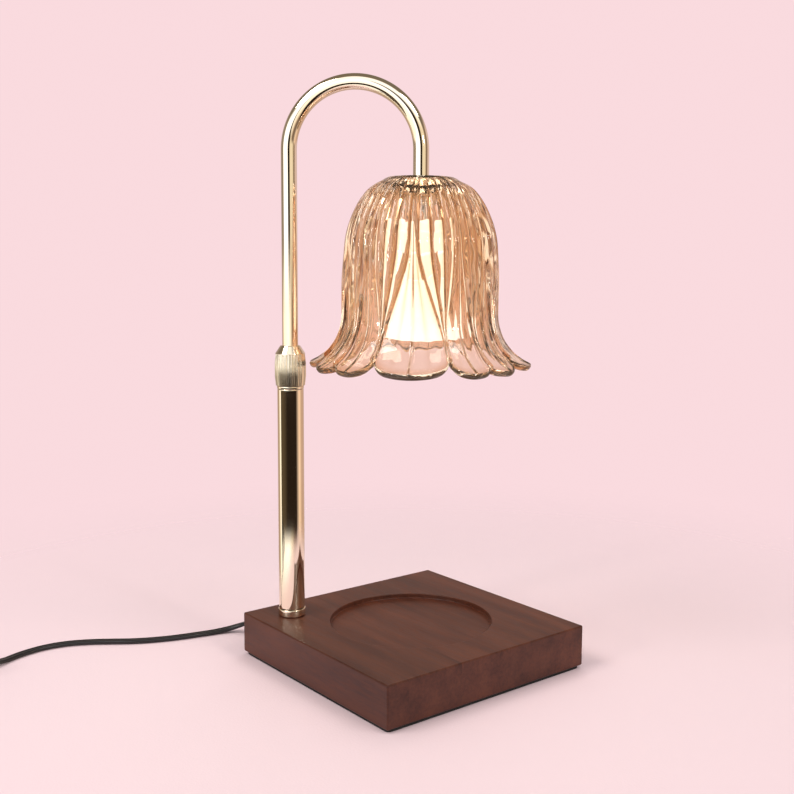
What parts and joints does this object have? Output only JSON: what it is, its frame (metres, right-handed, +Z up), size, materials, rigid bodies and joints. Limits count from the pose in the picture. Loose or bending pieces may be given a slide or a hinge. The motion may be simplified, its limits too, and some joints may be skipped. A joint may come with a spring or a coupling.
{
  "type": "candle warmer lamp",
  "caption": "Candle warmer lamp with a walnut base, a telescopic gold gooseneck, a knurled lock collar, a pressed-glass petal shade and an inline dimmer on its cord",
  "frame": {"origin": "centre of the base's underside, on the standing plane", "axes": "+Z up; X and Y along the sides of the square base; the pole stands near the -X -Y corner and its arm reaches along the diagonal toward +X +Y"},
  "size_m": [0.2947, 0.4347, 0.3575],
  "materials": {
    "walnut": "satin lacquer",
    "pad_rubber": "matt",
    "polished_gold": "polished champagne plating",
    "satin_gold": "satin champagne plating",
    "nickel": "bright nickel",
    "zinc_steel": "zinc plated",
    "nylon": "natural nylon",
    "champagne_glass": "pressed, polished",
    "ceramic": "glazed ceramic",
    "lamp_glass": "clear",
    "coated_glass": "mirror coat inside, satin white outside",
    "black_vinyl": "semi-gloss",
    "white_insulation": "matt",
    "blade_brass": "plain"
  },
  "bodies": {
    "base": {"base_lead": "white_insulation", "base_pad": "pad_rubber", "cord_coil": "black_vinyl", "cord_lead": "black_vinyl", "cord_link": "black_vinyl", "cord_tail": "black_vinyl", "cord_tie": "black_vinyl", "dimmer_axle": "zinc_steel", "dimmer_lower_shell": "black_vinyl", "dimmer_screw_1": "zinc_steel", "dimmer_screw_2": "zinc_steel", "dimmer_upper_shell": "black_vinyl", "lower_tube": "polished_gold", "mount_stud": "zinc_steel", "neck_bush": "polished_gold", "plug_blade_1": "blade_brass", "plug_blade_2": "blade_brass", "plug_body": "black_vinyl", "pole_foot": "polished_gold", "strain_relief": "black_vinyl", "stud_nut": "zinc_steel", "stud_washer": "zinc_steel", "wood_base": "walnut"},
    "clamp_ring": {"clamp_ring": "nylon"},
    "lock_collar": {"lock_collar": "satin_gold"},
    "arm_slider": {"guide_bush": "nylon"},
    "arm": {"gooseneck_tube": "polished_gold", "lower_clip": "zinc_steel", "upper_clip": "zinc_steel", "lamp_lead": "white_insulation", "cover_disc": "polished_gold", "nipple": "zinc_steel", "retaining_cup": "satin_gold", "shade_nut": "nickel", "holder_bracket": "zinc_steel", "bracket_nut": "zinc_steel", "holder_screw_1": "zinc_steel", "holder_screw_2": "zinc_steel", "lampholder": "ceramic", "live_wire": "white_insulation", "neutral_wire": "white_insulation", "shade_glass": "champagne_glass"},
    "lamp": {"bulb_base": "ceramic", "bulb_pin_1": "nickel", "bulb_pin_2": "nickel", "bulb_reflector": "coated_glass", "bulb_capsule": "lamp_glass", "bulb_lens": "lamp_glass"},
    "dimmer_wheel": {"dimmer_wheel": "black_vinyl"}
  },
  "joints": [
    {"name": "arm_height", "type": "slide", "parent": "base", "child": "arm_slider", "axis": [0, 0, 1], "range_m": [-0.055, 0.035]},
    {"name": "arm_swivel", "type": "hinge", "parent": "arm_slider", "child": "arm", "pos_m": [-0.053, -0.053, 0.1078], "axis": [0, 0, 1], "range_deg": [-170, 170]},
    {"name": "clamp_ring_rise", "type": "slide", "parent": "base", "child": "clamp_ring", "axis": [0, 0, 1], "range_m": [0, 0.001]},
    {"name": "lock_collar_turn", "type": "hinge", "parent": "clamp_ring", "child": "lock_collar", "pos_m": [-0.053, -0.053, 0.1813], "axis": [0, 0, 1], "range_deg": [0, 360]},
    {"name": "lamp_twist", "type": "hinge", "parent": "arm", "child": "lamp", "pos_m": [0.00321, 0.00321, 0.2437], "axis": [0, 0, 1], "range_deg": [0, 30]},
    {"name": "dimmer_wheel_turn", "type": "hinge", "parent": "base", "child": "dimmer_wheel", "pos_m": [-0.142, -0.2543, 0.01085], "axis": [1, 0, 0], "range_deg": [0, 270]}
  ],
  "couplings": [
    {"joint": "lock_collar_turn", "follows": "clamp_ring_rise", "rad_per_m": 6283.2}
  ]
}
